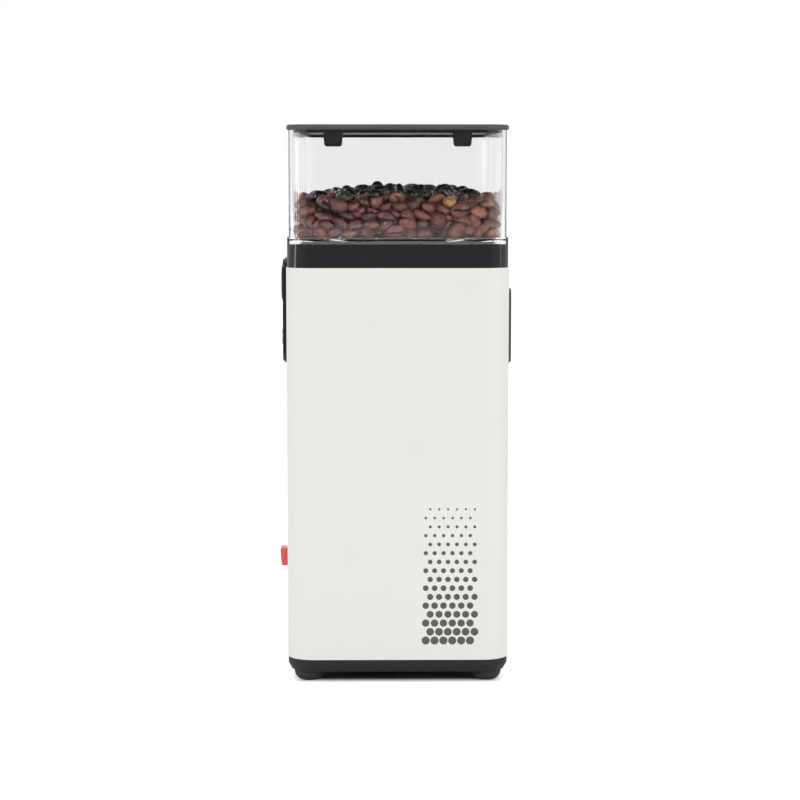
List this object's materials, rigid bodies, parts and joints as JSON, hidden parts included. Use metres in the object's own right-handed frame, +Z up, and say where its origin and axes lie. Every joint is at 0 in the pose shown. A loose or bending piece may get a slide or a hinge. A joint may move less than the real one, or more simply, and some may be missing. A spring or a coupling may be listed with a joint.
{
  "type": "burr coffee grinder",
  "caption": "Compact electric flat-burr coffee grinder: steel body, clear bean hopper with lid, worm-driven grind adjustment, spout and portafilter fork.",
  "frame": {"origin": "middle of the footprint, fork included, on the surface that the feet stand on", "axes": "+Z up; -Y is the plain face; +Y is the working side with spout and fork; -X is the side with the grind dial and power switch"},
  "size_m": [0.1352, 0.224, 0.32],
  "materials": {
    "shell_white": "satin",
    "tray_black": "matte",
    "foot_rubber": "matte",
    "screw_steel": "satin",
    "frame_steel": "satin",
    "damper_rubber": "matte",
    "bell_alloy": "satin",
    "core_steel": "satin",
    "winding_copper": "gloss",
    "bearing_steel": "polished",
    "chamber_alloy": "satin",
    "spring_steel": "gloss",
    "chute_black": "satin",
    "collar_black": "gloss",
    "panel_black": "satin",
    "dial_black": "satin",
    "grille_grey": "satin",
    "inlet_black": "matte",
    "lens_dark": "gloss",
    "board_green": "satin",
    "capacitor_white": "satin",
    "switch_black": "satin",
    "shaft_steel": "polished",
    "fan_black": "satin",
    "carrier_steel": "satin",
    "burr_steel": "satin",
    "screw_black": "satin",
    "ring_brass": "satin",
    "rocker_red": "gloss",
    "button_steel": "satin",
    "fork_steel": "polished",
    "flap_steel": "satin",
    "hopper_clear": "gloss",
    "shutter_black": "gloss",
    "lid_grey": "satin",
    "gasket_rubber": "matte",
    "bean_brown": "satin"
  },
  "bodies": {
    "housing": {"body_shell": "shell_white", "base_tray": "tray_black", "foot_front_left": "foot_rubber", "foot_front_right": "foot_rubber", "foot_rear_left": "foot_rubber", "foot_rear_right": "foot_rubber", "case_screws": "screw_steel", "chassis_frame": "frame_steel", "frame_dampers": "damper_rubber", "motor_lower_bell": "bell_alloy", "motor_upper_bell": "bell_alloy", "stator_core": "core_steel", "stator_windings": "winding_copper", "motor_tie_bolts": "screw_steel", "motor_bearings": "bearing_steel", "grinding_chamber": "chamber_alloy", "chamber_cover": "chamber_alloy", "ring_retainer": "frame_steel", "preload_spring": "spring_steel", "worm_brackets": "bell_alloy", "outlet_chute": "chute_black", "spout_nozzle": "chute_black", "top_collar": "collar_black", "control_panel": "panel_black", "switch_bezel": "switch_black", "vent_grille": "grille_grey", "power_inlet": "inlet_black", "display_panel": "panel_black", "display_lens": "lens_dark", "control_board": "board_green", "power_board": "board_green", "run_capacitor": "capacitor_white", "start_switch": "switch_black", "fork_rail": "frame_steel"},
    "rotor": {"motor_shaft": "shaft_steel", "rotor_core": "core_steel", "cooling_fan": "fan_black", "lower_burr_carrier": "carrier_steel", "lower_burr": "burr_steel", "lower_burr_fixings": "screw_black"},
    "adjuster": {"grind_dial": "dial_black", "worm_shaft": "shaft_steel", "worm_screw": "ring_brass"},
    "ring_gear": {"adjusting_ring": "ring_brass"},
    "burr_carrier": {"upper_burr_carrier": "carrier_steel", "upper_burr": "burr_steel", "upper_burr_screws": "screw_black"},
    "rocker": {"power_rocker": "rocker_red"},
    "mode_key": {"mode_button": "button_steel"},
    "single_key": {"dose_button_single": "button_steel"},
    "double_key": {"dose_button_double": "button_steel"},
    "plunger": {"start_plunger": "button_steel"},
    "fork": {"portafilter_fork": "fork_steel"},
    "flap": {"chute_flap": "flap_steel"},
    "hopper": {"bean_hopper": "hopper_clear", "coffee_beans": "bean_brown"},
    "shutter": {"shutter_slide": "shutter_black"},
    "lid": {"hopper_lid": "lid_grey", "lid_gasket": "gasket_rubber"}
  },
  "joints": [
    {"name": "rotor_spin", "type": "hinge", "parent": "housing", "child": "rotor", "pos_m": [0, -0.027, 0.12], "axis": [0, 0, 1], "continuous": true},
    {"name": "dial_turn", "type": "hinge", "parent": "housing", "child": "adjuster", "pos_m": [-0.0638, -0.0744, 0.2295], "axis": [1, 0, 0], "range_deg": [-3970, 3970]},
    {"name": "ring_turn", "type": "hinge", "parent": "housing", "child": "ring_gear", "pos_m": [0, -0.027, 0.2295], "axis": [0, 0, 1], "range_deg": [-46, 46]},
    {"name": "carrier_lift", "type": "slide", "parent": "housing", "child": "burr_carrier", "axis": [0, 0, 1], "range_m": [-0.0003, 0.0003], "deforming": ["preload_spring"]},
    {"name": "rocker_tilt", "type": "hinge", "parent": "housing", "child": "rocker", "pos_m": [-0.0608, -0.0744, 0.0683], "axis": [0, 1, 0], "range_deg": [0, 10]},
    {"name": "mode_press", "type": "slide", "parent": "housing", "child": "mode_key", "axis": [1, 0, 0], "range_m": [0, 0.0008], "stiffness_N_per_m": 200, "springref_m": -0.004},
    {"name": "single_press", "type": "slide", "parent": "housing", "child": "single_key", "axis": [0, -1, 0], "range_m": [0, 0.001], "stiffness_N_per_m": 200, "springref_m": -0.004},
    {"name": "double_press", "type": "slide", "parent": "housing", "child": "double_key", "axis": [0, -1, 0], "range_m": [0, 0.001], "stiffness_N_per_m": 200, "springref_m": -0.004},
    {"name": "plunger_press", "type": "slide", "parent": "housing", "child": "plunger", "axis": [0, -1, 0], "range_m": [0, 0.003], "stiffness_N_per_m": 250, "springref_m": -0.008},
    {"name": "fork_height", "type": "slide", "parent": "housing", "child": "fork", "axis": [0, 0, 1], "range_m": [-0.015, 0.01]},
    {"name": "flap_swing", "type": "hinge", "parent": "housing", "child": "flap", "pos_m": [0, 0.072, 0.1946], "axis": [1, 0, 0], "range_deg": [0, 55]},
    {"name": "hopper_lift", "type": "slide", "parent": "housing", "child": "hopper", "axis": [0, 0, 1], "range_m": [0, 0.1]},
    {"name": "shutter_pull", "type": "slide", "parent": "hopper", "child": "shutter", "axis": [0, 1, 0], "range_m": [0, 0.041]},
    {"name": "lid_lift", "type": "slide", "parent": "hopper", "child": "lid", "axis": [0, 0, 1], "range_m": [0, 0.08]}
  ],
  "couplings": [
    {"joint": "ring_turn", "follows": "carrier_lift", "rad_per_m": 2618},
    {"joint": "dial_turn", "follows": "carrier_lift", "rad_per_m": -230380}
  ]
}
